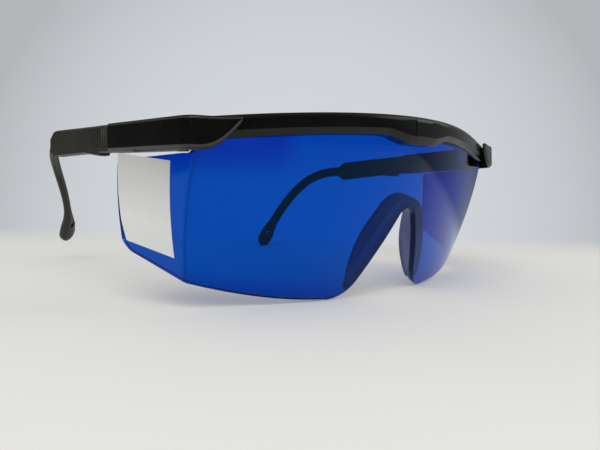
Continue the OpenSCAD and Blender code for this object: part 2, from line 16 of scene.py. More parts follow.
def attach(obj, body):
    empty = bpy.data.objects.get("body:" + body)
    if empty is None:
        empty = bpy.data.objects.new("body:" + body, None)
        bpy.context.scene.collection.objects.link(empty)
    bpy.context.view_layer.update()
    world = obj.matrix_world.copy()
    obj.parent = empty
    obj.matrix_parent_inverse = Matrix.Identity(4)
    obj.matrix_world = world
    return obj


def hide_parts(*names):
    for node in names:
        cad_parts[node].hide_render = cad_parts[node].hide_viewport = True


bl_info = {
    "name": "Laser safety glasses",
    "version": (1, 0, 0),
    "blender": (4, 5, 0),
    "location": "3D View > Sidebar > Glasses",
    "description": "Surfaces, materials and stage of a pair of wraparound laser safety glasses",
    "category": "Object",
}

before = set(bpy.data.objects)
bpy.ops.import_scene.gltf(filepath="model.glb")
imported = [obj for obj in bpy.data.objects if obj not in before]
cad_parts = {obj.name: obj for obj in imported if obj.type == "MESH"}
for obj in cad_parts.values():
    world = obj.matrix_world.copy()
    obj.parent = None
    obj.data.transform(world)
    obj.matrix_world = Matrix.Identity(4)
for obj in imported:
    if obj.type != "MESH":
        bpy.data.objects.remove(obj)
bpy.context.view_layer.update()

# Sizes that the part's source has too, in millimetres
HALF_WIDTH = 75.0
WRAP_DEPTH = 20.0
BAR_ARCH = 5.6
BAR_HEIGHT = 6.1
BAR_DEPTH = 6.2
BAR_BEVEL = 1.2
BAR_UNDERCUT = 1.2
BAR_HALF = 67.0
BAR_END_STEP = 2.1
BAR_END_WALL = 2.0
BAR_DIP = 2.5
BAR_DIP_HALF = 17.0
BAR_FACET = 0.71
GROOVE_DEPTH = 2.2
LENS_SETBACK = 2.2
LENS_DEPTH = 57.6
LENS_FOLD = 2.6
LENS_STEP_AT = 0.945
REAR_CORNER = 1.2
LENS_LEAN = 15.4
LENS_WRAP = 16.3
LENS_RISE = 7.5
LENS_BOW = 2.95
CORNER_INSET = 4.8
LENS_TAPER = 3.5
CORNER_TOP = HALF_WIDTH - CORNER_INSET
CORNER_LOW = CORNER_TOP - LENS_TAPER
CORNER_BOW = 2.0
LOWEST_HALF = 18.0
SHIELD_OUT = (6.3, 6.6)
SHIELD_LONG = (31.6, 20.0)
SHIELD_LIFT = 0.225
NOTCH_TOP = 28.8
NOTCH_RADIUS = 4.5
NOTCH_SLOPE = math.radians(62.7)
NOSE_ROUND = 7.0
FLANGE_THICKNESS = 1.9
FLANGE_ROOT = 1.8
FLANGE_FLARE = 3.2
SLEEVE_DOWN = 4.8
SLEEVE_HEIGHT = 8.8
SLEEVE_CLEARANCE = 0.3
UNDER_SLEEVE = -SLEEVE_DOWN - SLEEVE_HEIGHT - SLEEVE_CLEARANCE
CLICK_ANGLE = math.radians(3.9)
PITCH_BACK = 25.8
PITCH_DOWN = 8.9
PITCH_DISC = 2.7
LUG_THICK = 2.4
LUG_CLEARANCE = 0.1
LUG_FROM = BAR_HALF - BAR_END_STEP - LUG_CLEARANCE - LUG_THICK
LUG_TOP = -4.6
LUG_ROOT = 4.4
REAR_REACH = 151.1
ROW_SHIFT = np.array([0.0, -REAR_REACH / 2, LENS_DEPTH])

# Sizes of the surfaces worked out here, in millimetres
BAR_TOP_FACET = 1.5
BAR_DIP_FLAT = 5.0
NOSE_STEP = 4.2
NOSE_STEP_DEEP = 0.25
INNER_FOLD = 3.4
PANE_HEIGHT = 50.0
CORNER_BAND = 2.7
# Width of the painted dark line along the corner fold
FOLD_LINE_WIDTH = 0.28
FLANGE_BURIED = 0.4
FLANGE_GAP = 0.02
LABEL_GAP = 0.02

# Shares of the lens, along it or down it
PANE_COLUMNS_END = 0.955
SHIELD_COLUMNS_END = 1.9
REAR_SHARE = 0.08
LOW_REAR_SHARE = 0.15
LOW_REAR_LIFT = 0.06

# Angles in degrees above which an edge stays crisp, and below which two faces of a CAD mesh are one
CRISP_EDGE = 32.0
CRISP_PANEL = 40.0
SAME_FACE = 0.6

# Rounding of the CAD pieces' edges, in edge radii, and the length from which an edge is always rounded
SLEEVE_ROUNDING = 2.0
EAR_ROUNDING = 1.4
HINGE_ROUNDING = 0.6
LONG_EDGE = 20


# Settings that a user may change

class LensSettings(bpy.types.PropertyGroup):
    thickness: FloatProperty(name="Thickness", description="Thickness of the lens", default=0.0022,
                             min=0.0015, max=0.003, unit="LENGTH", precision=4)
    fold: FloatProperty(name="Corner fold", default=0.001, min=0.0005, max=0.003, unit="LENGTH", precision=4,
                        description="Half length of the outer fold between pane and side shield")
    tint: FloatVectorProperty(name="Tint", description="Colour that one pass through the lens leaves",
                              subtype="COLOR", size=3, min=0, max=1, default=(0.001, 0.085, 0.58))
    # The edge tint colours the cut edges, and also the painted dark line along the corner fold that stands in
    # for the fold's refraction.
    edge_tint_and_fold_shade: FloatVectorProperty(name="Edge tint", subtype="COLOR", size=3, min=0, max=1,
                                   description="Colour of the cut edges and the corner line",
                                   default=(0.0, 0.03, 0.2))
    roughness: FloatProperty(name="Roughness", description="Roughness of the polished surface", default=0.008,
                             min=0, max=0.3, subtype="FACTOR")


class FlangeSettings(bpy.types.PropertyGroup):
    depth: FloatProperty(name="Depth", description="Reach of the nose flange at the middle of each side",
                         default=0.0038, min=0.002, max=0.006, unit="LENGTH", precision=4)
    top_depth: FloatProperty(name="Depth at the top", default=0.0026, min=0.002, max=0.006, unit="LENGTH",
                             precision=4, description="Reach of the nose flange at the top of the notch")
    colour: FloatVectorProperty(name="Colour", description="Colour of the flange", subtype="COLOR", size=3,
                                min=0, max=1, default=(0.16, 0.19, 0.33))


class MouldingSettings(bpy.types.PropertyGroup):
    edge: FloatProperty(name="Edge radius", description="Rounding of the moulded edges", default=0.00022,
                        min=0.00005, max=0.0006, unit="LENGTH", precision=5)
    black: FloatVectorProperty(name="Black", description="Colour of bar, sleeves and hinge blocks",
                               subtype="COLOR", size=3, min=0, max=1, default=(0.0024, 0.0024, 0.0022))
    brown: FloatVectorProperty(name="Brown black", description="Colour of the ear pieces",
                               subtype="COLOR", size=3, min=0, max=1, default=(0.0215, 0.0205, 0.0155))
    # Painted highlight: these lighter colours on the rounded edges stand in for the light that the edges catch.
    highlight_black: FloatVectorProperty(name="Painted highlight black", subtype="COLOR", size=3, min=0, max=1,
                                    description="Colour of the rubbed edges of the sleeves",
                                    default=(0.035, 0.036, 0.034))
    highlight_brown: FloatVectorProperty(name="Painted highlight brown", subtype="COLOR", size=3, min=0, max=1,
                                    description="Colour of the rubbed edges of the ear pieces",
                                    default=(0.06, 0.06, 0.054))
    steel: FloatVectorProperty(name="Steel", description="Colour of the pins", subtype="COLOR", size=3,
                               min=0, max=1, default=(0.5, 0.5, 0.51))


class LabelSettings(bpy.types.PropertyGroup):
    thickness: FloatProperty(name="Thickness", description="Thickness of the bare label", default=0.00014,
                             min=0.00005, max=0.0003, unit="LENGTH", precision=5)
    colour: FloatVectorProperty(name="Colour", description="Colour of the bare label", subtype="COLOR",
                                size=3, min=0, max=1, default=(0.72, 0.72, 0.71))


class StageSettings(bpy.types.PropertyGroup):
    floor: FloatVectorProperty(name="Floor", description="Colour of the table top", subtype="COLOR", size=3,
                               min=0, max=1, default=(0.83, 0.812, 0.765))
    backdrop: FloatVectorProperty(name="Backdrop", description="Colour behind the object", subtype="COLOR",
                                  size=3, min=0, max=1, default=(0.64, 0.67, 0.70))
    key: FloatProperty(name="Key light", description="Power of the key light in watts", default=6.1, min=0)
    fill: FloatProperty(name="Fill light", description="Power of the fill light in watts", default=2.0, min=0)
    dome: FloatProperty(name="Dome", description="Strength of the light from all round", default=0.55, min=0)


# Meshes

def mesh_from(name, points, quads, ends=()):
    """Object of a mesh: points in millimetres of the part's frame, faces of four corners, and end faces."""
    mesh = bpy.data.meshes.new(name)
    co = (np.asarray(points).reshape(-1, 3) + ROW_SHIFT) * 1e-3
    faces = [*np.asarray(quads).reshape(-1, 4).tolist(), *[list(end) for end in ends]]
    mesh.from_pydata(co.tolist(), [], faces)
    mesh.update()
    mesh.shade_smooth()
    piece = bpy.data.objects.new(name, mesh)
    bpy.context.scene.collection.objects.link(piece)
    return piece


def face_outward(piece):
    """Turns the faces of a closed skin so that they all look outward."""
    tool = bmesh.new()
    tool.from_mesh(piece.data)
    bmesh.ops.recalc_face_normals(tool, faces=tool.faces)
    tool.to_mesh(piece.data)
    tool.free()


def loft(name, loops):
    """Closed skin through loops, an array of rows by n points: row i, point j joins row i+1, point j+1."""
    rows, n = loops.shape[:2]
    i, j = np.meshgrid(np.arange(rows - 1), np.arange(n), indexing="ij")
    k = (j + 1) % n
    quads = np.stack([i * n + j, i * n + k, (i + 1) * n + k, (i + 1) * n + j], -1)
    ends = (range(n - 1, -1, -1), range((rows - 1) * n, rows * n))
    piece = mesh_from(name, loops, quads, ends)
    face_outward(piece)
    return piece


def soften(piece, degrees=CRISP_EDGE):
    """Smooth faces, with the edges sharper than that angle left crisp."""
    piece.data.shade_smooth()
    piece.data.set_sharp_from_angle(angle=math.radians(degrees))


def refined(node, name, edge):
    """Copy of a CAD node's mesh with doubles merged and flat faces joined; a bevel rounds its outward edges
    that are sharp and are long or have no edge shorter than the rounding beside them."""
    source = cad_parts[node]
    mesh = source.data.copy()
    mesh.name = name
    tool = bmesh.new()
    tool.from_mesh(mesh)
    bmesh.ops.remove_doubles(tool, verts=tool.verts, dist=2e-6)
    bmesh.ops.dissolve_limit(tool, angle_limit=math.radians(SAME_FACE), verts=tool.verts, edges=tool.edges)
    weight = tool.edges.layers.float.new("bevel_weight_edge")
    for line in tool.edges:
        sharp = line.is_manifold and line.is_convex and line.calc_face_angle() > math.radians(CRISP_EDGE)
        beside = min(other.calc_length() for end in line.verts for other in end.link_edges)
        if sharp and (beside > edge or line.calc_length() > LONG_EDGE * edge):
            line[weight] = 1.0
    tool.to_mesh(mesh)
    tool.free()
    mesh.materials.clear()
    piece = bpy.data.objects.new(name, mesh)
    bpy.context.scene.collection.objects.link(piece)
    soften(piece)
    round_off = piece.modifiers.new("Rounded edges", "BEVEL")
    round_off.width = edge
    round_off.segments = 2
    round_off.limit_method = "WEIGHT"
    # The rounded edges take the second material: a painted edge highlight on the sleeves and ear pieces.
    round_off.material = 1
    round_off.use_clamp_overlap = False
    round_off.harden_normals = True
    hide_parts(node)
    return piece


# Shape of the front

def wrap(x):
    """How far back the bar's front lies at x: its depth by 1.55 share squared less 0.55 share to the 4th."""
    share = np.abs(x) / HALF_WIDTH
    return WRAP_DEPTH * (1.55 * share**2 - 0.55 * share**4)


def arch(x):
    """Fall of the bar's top towards its ends, by the square of the share of the half width."""
    return -BAR_ARCH * (np.abs(x) / HALF_WIDTH) ** 2


def pane(u, t):
    """Point of the pane: a line from the top curve to the bottom curve at u, bowed out by a parabola in t."""
    x, low = CORNER_TOP * u, CORNER_LOW * u
    share = np.abs(u)
    top = np.stack([x, LENS_SETBACK + wrap(x), arch(x) - BAR_HEIGHT], -1)
    rise = np.clip((np.abs(low) - LOWEST_HALF) / (CORNER_LOW - LOWEST_HALF), 0, None)
    bottom = np.stack([low, LENS_LEAN + LENS_WRAP * (0.87 * share**2 + 0.13 * share**4),
                       -LENS_DEPTH + LENS_RISE * rise**2], -1)
    bow = np.stack([CORNER_BOW * u**3, -LENS_BOW * (1 - 0.85 * u**2), np.zeros_like(u)], -1)
    t = t[..., None]
    return top * (1 - t) + bottom * t + bow * 4 * t * (1 - t)


def shield(w, t):
    """Point of the side shield: the pane's corner line, moved straight back and out in proportion to w."""
    out = SHIELD_OUT[0] * (1 - t) + SHIELD_OUT[1] * t
    back = SHIELD_LONG[0] * (1 - t) + SHIELD_LONG[1] * t
    return pane(np.ones_like(t), t) + w[..., None] * np.stack([out, back, np.zeros_like(t)], -1)


def half_lens(s, t, fold):
    """Pane up to s = 1, shield beyond it, and between them a parabola of half length fold, in millimetres."""
    fold_u, fold_w = fold / CORNER_TOP, fold / SHIELD_LONG[0]
    q = np.clip((s - 1 + fold_u) / (fold_u + fold_w), 0, 1)[..., None]
    corner = (pane(np.full_like(s, 1 - fold_u), t) * (1 - q) ** 2 + pane(np.ones_like(s), t) * 2 * q * (1 - q)
              + shield(np.full_like(s, fold_w), t) * q**2)
    flat = np.where((s < 1)[..., None], pane(np.minimum(s, 1.0), t), shield(np.maximum(s - 1, 0.0), t))
    return np.where((q > 0) & (q < 1), corner, flat)


def lens_point(s, t, fold):
    """Point of the lens at s from -2, the right shield's rear, to 2, the left shield's rear."""
    p = half_lens(np.abs(s), t, fold)
    return p * np.stack([np.sign(s) + (s == 0), np.ones_like(s), np.ones_like(s)], -1)


def lens_normal(s, t, fold):
    """Outward normal of the lens by the cross product of two small steps."""
    d = 0.004
    down = lens_point(s, t + d, fold) - lens_point(s, t - d, fold)
    along = lens_point(s + d, t, fold) - lens_point(s - d, t, fold)
    n = np.cross(down, along)
    return n / np.linalg.norm(n, axis=-1, keepdims=True)


def height_share(s, z):
    """Share t of the lens's height at which its surface passes the height z."""
    zero = np.zeros_like(s)
    a = lens_point(s, zero, LENS_FOLD)[..., 2]
    b = lens_point(s, zero + 1, LENS_FOLD)[..., 2]
    return (z - a) / (b - a)


def nose_path(arc=16, flank=26, blend=16):
    """Edge of the nose notch from its top to the lens's lowest edge: arc, straight flank, rounded corner."""
    tangent = NOTCH_RADIUS * math.sin(NOTCH_SLOPE)
    flank_top = NOTCH_TOP + NOTCH_RADIUS * (1 - math.cos(NOTCH_SLOPE))
    half = tangent + (LENS_DEPTH - flank_top) / math.tan(NOTCH_SLOPE)
    a = np.linspace(0, NOTCH_SLOPE, arc, endpoint=False)
    arc_part = np.stack([NOTCH_RADIUS * np.sin(a), -NOTCH_TOP - NOTCH_RADIUS * (1 - np.cos(a))], -1)
    start = half - NOSE_ROUND * math.cos(NOTCH_SLOPE)
    x = np.linspace(tangent, start, flank, endpoint=False)
    flank_part = np.stack([x, -flank_top - (x - tangent) * math.tan(NOTCH_SLOPE)], -1)
    q = np.linspace(0, 1, blend)[:, None]
    p0 = np.array([start, -flank_top - (start - tangent) * math.tan(NOTCH_SLOPE)])
    p1, p2 = np.array([half, -LENS_DEPTH]), np.array([half + NOSE_ROUND, -LENS_DEPTH])
    return np.concatenate([arc_part, flank_part, p0 * (1 - q) ** 2 + p1 * 2 * q * (1 - q) + p2 * q**2])


def smooth(t):
    """Smooth step from 0 to 1."""
    t = np.clip(t, 0, 1)
    return t * t * (3 - 2 * t)


def lens_columns():
    """Columns round the right half: s, share t of the upper edge and share t of the lower edge."""
    nose = nose_path()
    s_nose = nose[:, 0] / CORNER_LOW
    s_pane = np.linspace(s_nose[-1], PANE_COLUMNS_END, 34)[1:]
    near = 1 + np.linspace(-CORNER_BAND, CORNER_BAND, 46) / CORNER_TOP
    near = np.where(near > 1, 1 + (near - 1) * CORNER_TOP / SHIELD_LONG[0], near)
    s_shield = np.linspace(near[-1], SHIELD_COLUMNS_END, 30)[1:]
    s_rear = 2 - np.array([2.4, 1.8, 1.3, 0.9, 0.6, 0.35, 0.16, 0.05, 0.0]) / SHIELD_LONG[0]
    s = np.concatenate([s_nose, s_pane, near, s_shield, s_rear])
    w = np.clip(s - 1, 0, 1)
    fold_u, fold_w = LENS_FOLD / CORNER_TOP, LENS_FOLD / SHIELD_LONG[0]
    in_bar = arch(s * CORNER_TOP) - BAR_HEIGHT
    top = np.where(s < LENS_STEP_AT, in_bar + GROOVE_DEPTH,
                   in_bar + (UNDER_SLEEVE - in_bar) * smooth((s - 1 + fold_u) / (fold_u + fold_w)))
    behind = LENS_SETBACK + wrap(CORNER_TOP) + SHIELD_LONG[0] * w - PITCH_BACK
    rear_round = REAR_CORNER * (np.clip(s - 2 + REAR_SHARE, 0, 1) / REAR_SHARE) ** 2
    wedge = UNDER_SLEEVE - rear_round - math.tan(CLICK_ANGLE) * np.maximum(behind, 0)
    top = np.where(s > 1 + fold_w, wedge, top)
    t_top = height_share(np.minimum(s, 1.0), top)
    low = 1 - SHIELD_LIFT * w - LOW_REAR_LIFT * (np.clip(w - 1 + LOW_REAR_SHARE, 0, 1) / LOW_REAR_SHARE) ** 2
    notch = height_share(s, np.concatenate([nose[:, 1], np.zeros(len(s) - len(nose))]))
    t_low = np.where(np.arange(len(s)) < len(nose), notch, low)
    return s, t_top, t_low


def painted_shade_under_bar(s, t):
    """How deep the painted shade under the bar is: a smooth step fades it out from t = 0.06 to 0.3, and by
    another it is full at the sides and a quarter in the middle."""
    return (1 - smooth((t - 0.06) / 0.24)) * (0.25 + 0.75 * smooth((np.abs(s) - 0.58) / 0.12))


def lens_piece(settings):
    """Closed plate: outer surface, rounded lower rim, inner surface and upper rim, column by column."""
    thick, fold = settings.thickness * 1e3, settings.fold * 1e3
    s, t_top, t_low = lens_columns()
    s = np.concatenate([-s[:0:-1], s])
    t_top, t_low = (np.concatenate([v[:0:-1], v]) for v in (t_top, t_low))
    rows = np.linspace(0, 1, 42)
    rim = np.array([[0.5, 0.0], [0.16, 0.03], [0.03, 0.12], [0.0, 0.26], [0.0, 0.5], [0.0, 0.74],
                    [0.03, 0.88], [0.16, 0.97], [0.5, 1.0]])
    span = (t_low - t_top)[:, None]
    column_height = np.abs(span) * PANE_HEIGHT
    down_t = t_top[:, None] + (0.5 + rows * (column_height - 1.0)) / column_height * span
    low_t = t_low[:, None] - rim[:, 0] / column_height * span
    high_t = t_top[:, None] + rim[::-1, 0] / column_height * span
    t = np.concatenate([down_t, low_t[:, 1:-1], down_t[:, ::-1], high_t[:, 1:-1]], 1)
    k = np.concatenate([rows * 0, rim[1:-1, 1], rows * 0 + 1, rim[-2:0:-1, 1]])
    squeeze = np.interp(2 - np.abs(s), [0.0, 0.0016, 0.005, 0.011], [0.35, 0.75, 0.94, 1.0])[:, None]
    k = 0.5 + (k[None, :] - 0.5) * squeeze
    grid = np.repeat(s[:, None], t.shape[1], 1)
    outer = lens_point(grid, t, fold)
    inner = lens_point(grid, t, INNER_FOLD) - lens_normal(grid, t, INNER_FOLD) * thick
    piece = loft("Lens", outer * (1 - k[..., None]) + inner * k[..., None])
    rim_mark = np.concatenate([rows * 0, rim[1:-1, 1] * 0 + 1, rows * 0, rim[1:-1, 1] * 0 + 1])
    rim_mark = np.maximum(rim_mark[None, :] + 0 * t, (np.abs(grid) > 1.995) * 1.0)
    # Painted dark line along the corner fold, standing in for its refraction: full on the outer surface,
    # fainter on the rims and faint on the inner surface.
    away = np.where(np.abs(grid) < 1, (1 - np.abs(grid)) * CORNER_TOP, (1 - np.abs(grid)) * SHIELD_LONG[0])
    outside = np.concatenate([rows * 0 + 1, rim[1:-1, 1] * 0 + 0.5, rows * 0 + 0.12, rim[1:-1, 1] * 0 + 0.5])
    line = np.exp(-((away / FOLD_LINE_WIDTH) ** 2)) * outside
    # The upper mask holds painted shade under the bar.
    marks = {"rim": rim_mark, "painted_fold_line": line, "height": t, "upper": painted_shade_under_bar(grid, t)}
    for name, values in marks.items():
        layer = piece.data.attributes.new(name, "FLOAT", "POINT")
        layer.data.foreach_set("value", np.ascontiguousarray(values, dtype=np.float32).ravel())
    return piece


def flange_piece(settings, thickness):
    """Closed strip along the notch: each section runs from the lens to a rounded rear edge and back."""
    arc, straight, blend, blend_used = 14, 22, 16, 6
    path = nose_path(arc, straight, blend)[:arc + straight + blend_used]
    side = np.concatenate([path[:0:-1] * [-1, 1], path])
    step = np.linalg.norm(np.diff(side, axis=0), axis=1)
    along = np.concatenate([[0], np.cumsum(step)])
    q = along / along[-1] * 2 - 1
    even = np.linspace(-1, 1, 121)
    x, z = np.interp(even, q, side[:, 0]), np.interp(even, q, side[:, 1])
    tangent = np.stack([np.gradient(x), np.gradient(z)], -1)
    tangent /= np.linalg.norm(tangent, axis=1, keepdims=True)
    away = np.stack([-tangent[:, 1], np.zeros(len(x)), tangent[:, 0]], -1)
    s = x / CORNER_LOW
    t = height_share(s, z)
    root = lens_point(s, t, LENS_FOLD) - lens_normal(s, t, LENS_FOLD) * thickness * FLANGE_BURIED
    share = np.abs(even)
    reach = settings.top_depth * 1e3 * (1 - share) + settings.depth * 1e3 * np.sin(np.pi * share) + 0.4
    reach = (reach + thickness * (1 - FLANGE_BURIED))[:, None]
    lean = (FLANGE_FLARE * (1 - share) ** 1.5)[:, None]
    back = np.linspace(0, 1, 9)
    rear = np.array([[1.03, 0.2], [1.06, 0.5], [1.03, 0.8]])
    v = np.concatenate([back, rear[:, 0], back[::-1]])[None, :]
    k = np.concatenate([back * 0, rear[:, 1], back * 0 + 1])[None, :]
    shrink = np.interp(1 - share, [0, 0.004, 0.015, 0.03], [0.4, 0.75, 0.95, 1.0])[:, None]
    k = 0.5 + (k - 0.5) * shrink
    flank = np.sin(np.pi * share)[:, None]
    wide = FLANGE_THICKNESS + flank + (FLANGE_ROOT + 0.5 * flank) * np.clip(1 - v, 0, 1)
    offset = lean * np.clip(v, 0, 1) + k * wide + FLANGE_GAP
    loops = root[:, None, :] + away[:, None, :] * offset[..., None]
    loops[..., 1] += np.minimum(v, 1.06) * reach
    return loft("Nose_flange", loops)


def rounded(outline, radius):
    """Outline with each corner cut back by the radius and joined by the middle of a parabola."""
    outline = np.asarray(outline, float)
    before, after = np.roll(outline, 1, axis=-2), np.roll(outline, -1, axis=-2)

    def toward(other):
        length = np.linalg.norm(other - outline, axis=-1, keepdims=True)
        return outline + (other - outline) * np.minimum(radius / length, 0.4)

    a, b = toward(before), toward(after)
    corners = np.stack([a, (a + 2 * outline + b) / 4, b], -2)
    return corners.reshape(*outline.shape[:-2], -1, outline.shape[-1])


def even_normals(piece):
    """Large faces keep flat normals, so that only the rounded edges between them catch the light."""
    soften(piece, CRISP_PANEL)
    weigh = piece.modifiers.new("Even normals", "WEIGHTED_NORMAL")
    weigh.keep_sharp = True


def bar_piece(radius):
    """Closed skin of the brow bar: one eight-cornered section at each x, set square to the bar's front line.
    At each side of a short pad over the nose the front steps back, and it rises again further out."""
    full = BAR_HALF - BAR_END_STEP
    x = np.concatenate([np.linspace(0, NOSE_STEP, 8), np.linspace(NOSE_STEP + 0.12, full - 0.1, 90),
                        [full + 0.1], np.linspace(full + 0.3, BAR_HALF - 0.12, 5), [BAR_HALF]])
    x = np.concatenate([-x[:0:-1], x])
    slope = (wrap(x + 0.2) - wrap(x - 0.2)) / 0.4
    length = np.sqrt(slope**2 + 1)
    tall = BAR_HEIGHT + BAR_DIP * (1 - smooth((np.abs(x) - BAR_DIP_FLAT) / (BAR_DIP_HALF - BAR_DIP_FLAT)))
    deep = np.where(np.abs(x) > full, BAR_END_WALL, BAR_DEPTH)
    zero = np.zeros_like(x)
    stepped = NOSE_STEP_DEEP * (1 - smooth((np.abs(x) - NOSE_STEP) / BAR_DIP_HALF))
    low = np.where(np.abs(x) > NOSE_STEP, stepped, 0.0)
    back = np.stack([zero + BAR_BEVEL, zero + 0.25, low, low, zero + BAR_UNDERCUT, deep, deep, deep - 0.5], 1)
    crease = -tall * BAR_FACET
    down = np.stack([zero, zero - 0.8, zero - BAR_TOP_FACET, crease, -tall, -tall, zero - 0.8, zero], 1)
    section = rounded(np.stack([back, down], -1), radius)
    squeeze = np.where(np.abs(x) >= BAR_HALF, 0.9, 1.0)[:, None, None]
    middle = section.mean(1, keepdims=True)
    section = middle + (section - middle) * squeeze
    b = section[..., 0]
    loops = np.stack([x[:, None] - (slope / length)[:, None] * b, wrap(x)[:, None] + b / length[:, None],
                      arch(x)[:, None] + section[..., 1]], -1)
    piece = loft("Brow_bar", loops)
    even_normals(piece)
    return piece


def lug_piece(name, side, radius):
    """Plate behind the bar's end: outline of neck and disc in the plane across x, its rims drawn in."""
    neck_low = arch(LUG_FROM) - BAR_HEIGHT + GROOVE_DEPTH + 0.5
    root = wrap(LUG_FROM) + BAR_DEPTH - 3
    turn = np.radians(np.linspace(-182, 42, 30))
    disc = np.stack([PITCH_BACK + PITCH_DISC * np.cos(turn), -PITCH_DOWN + PITCH_DISC * np.sin(turn)], -1)
    neck = [[PITCH_BACK - 1.5, LUG_TOP], [root, LUG_TOP], [root, neck_low], [root + LUG_ROOT, neck_low]]
    outline = np.concatenate([disc, neck])
    middle = outline.mean(0)
    along = np.array([0, 0.3, 1, 1, 0.3, 0]) * radius
    place = np.array([0, radius * 0.3, radius, LUG_THICK - radius, LUG_THICK - radius * 0.3, LUG_THICK])
    rim = np.linalg.norm(outline - middle, axis=1)
    loops = []
    for x, inset in zip(place, radius - along):
        drawn = middle + (outline - middle) * (1 - inset / rim)[:, None]
        loops.append(np.column_stack([np.full(len(outline), side * (LUG_FROM + x)), drawn]))
    piece = loft(name, np.array(loops))
    soften(piece)
    return piece


def label_piece(settings, fold):
    """Thin plate on the right side shield, between four edges given as shares w and t of the shield."""
    a, b = np.meshgrid(np.linspace(0, 1, 28), np.linspace(0, 1, 40), indexing="ij")
    rear_w = np.interp(b, [0, 0.42, 0.78, 1], [0.985, 0.972, 0.955, 0.907])
    rear_t = np.interp(b, [0, 0.42, 0.78, 1], [0.075, 0.346, 0.56, 0.716])
    front_w = np.interp(b, [0, 0.62, 1], [0.267, 0.188, 0.141])
    front_t = np.interp(b, [0, 0.62, 1], [0.13, 0.553, 0.813])
    w, t = rear_w * (1 - a) + front_w * a, rear_t * (1 - a) + front_t * a
    base = lens_point(1 + w, t, fold)
    n = lens_normal(1 + w, t, LENS_FOLD)
    flip = np.array([-1.0, 1.0, 1.0])
    low, high = (base + n * LABEL_GAP) * flip, (base + n * (LABEL_GAP + settings.thickness * 1e3)) * flip
    grid = np.arange(a.size).reshape(a.shape)
    quads = np.stack([grid[:-1, :-1], grid[1:, :-1], grid[1:, 1:], grid[:-1, 1:]], -1).reshape(-1, 4)
    edge = np.concatenate([grid[:-1, 0], grid[-1, :-1], grid[:0:-1, -1], grid[0, :0:-1]])
    following = np.roll(edge, -1)
    wall = np.stack([edge, following, following + a.size, edge + a.size], -1)
    points = np.concatenate([low.reshape(-1, 3), high.reshape(-1, 3)])
    piece = mesh_from("Bare_label", points, np.concatenate([quads[:, ::-1], quads + a.size, wall]))
    face_outward(piece)
    layer = piece.data.uv_layers.new(name="sheet")
    corner = np.empty(len(piece.data.loops), dtype=np.int32)
    piece.data.loops.foreach_get("vertex_index", corner)
    flat = np.stack([a.ravel(), b.ravel()], -1)
    layer.data.foreach_set("uv", np.concatenate([flat, flat])[corner].astype(np.float32).ravel())
    soften(piece)
    return piece


# Materials

FRONT_GLINT = (0.15, 0.42, 0.6, 1.0)
LIGHT_THROUGH = (0.42, 0.44, 0.56, 1.0)


class Nodes:
    """Small helper that adds nodes to a material and joins their sockets."""

    def __init__(self, name):
        self.material = bpy.data.materials.new(name)
        self.material.use_nodes = True
        self.tree = self.material.node_tree
        self.shader = next(n for n in self.tree.nodes if n.type == "BSDF_PRINCIPLED")
        self.output = next(n for n in self.tree.nodes if n.type == "OUTPUT_MATERIAL")

    @classmethod
    def of(cls, tree):
        """Helper for a node tree that isn't a material's."""
        helper = cls.__new__(cls)
        helper.tree = tree
        return helper

    def add(self, kind, inputs=None, **values):
        """New node with its settings by name and its inputs by name or number."""
        node = self.tree.nodes.new(kind)
        for name, value in values.items():
            setattr(node, name, value)
        for name, value in (inputs or {}).items():
            self.set(node.inputs[name], value)
        return node

    def set(self, socket, value):
        if isinstance(value, bpy.types.NodeSocket):
            self.tree.links.new(value, socket)
        else:
            socket.default_value = value

    def principled(self, **values):
        for name, value in values.items():
            self.set(self.shader.inputs[name.replace("_", " ")], value)

    def noise(self, scale, detail=3.0, roughness=0.5, stretch=(1, 1, 1)):
        place = self.add("ShaderNodeTexCoord")
        mapping = self.add("ShaderNodeMapping", {"Vector": place.outputs["Object"], "Scale": stretch})
        return self.add("ShaderNodeTexNoise", {"Vector": mapping.outputs[0], "Scale": scale, "Detail": detail,
                                               "Roughness": roughness}).outputs["Fac"]

    def spread(self, factor, low, high, from_low=0.3, from_high=0.7):
        return self.add("ShaderNodeMapRange", {"Value": factor, "From Min": from_low, "From Max": from_high,
                                               "To Min": low, "To Max": high}).outputs["Result"]

    def blend(self, factor, first, second):
        node = self.add("ShaderNodeMix", data_type="RGBA")
        self.set(node.inputs["Factor"], factor)
        self.set(node.inputs[6], first)
        self.set(node.inputs[7], second)
        return node.outputs[2]

    def bump(self, height, strength, distance):
        return self.add("ShaderNodeBump", {"Height": height, "Strength": strength,
                                           "Distance": distance}).outputs["Normal"]

    def attribute(self, name):
        return self.add("ShaderNodeAttribute", attribute_name=name, attribute_type="GEOMETRY").outputs["Fac"]


def rgba(colour, gain=1.0):
    return (*[min(c * gain, 1.0) for c in colour], 1.0)


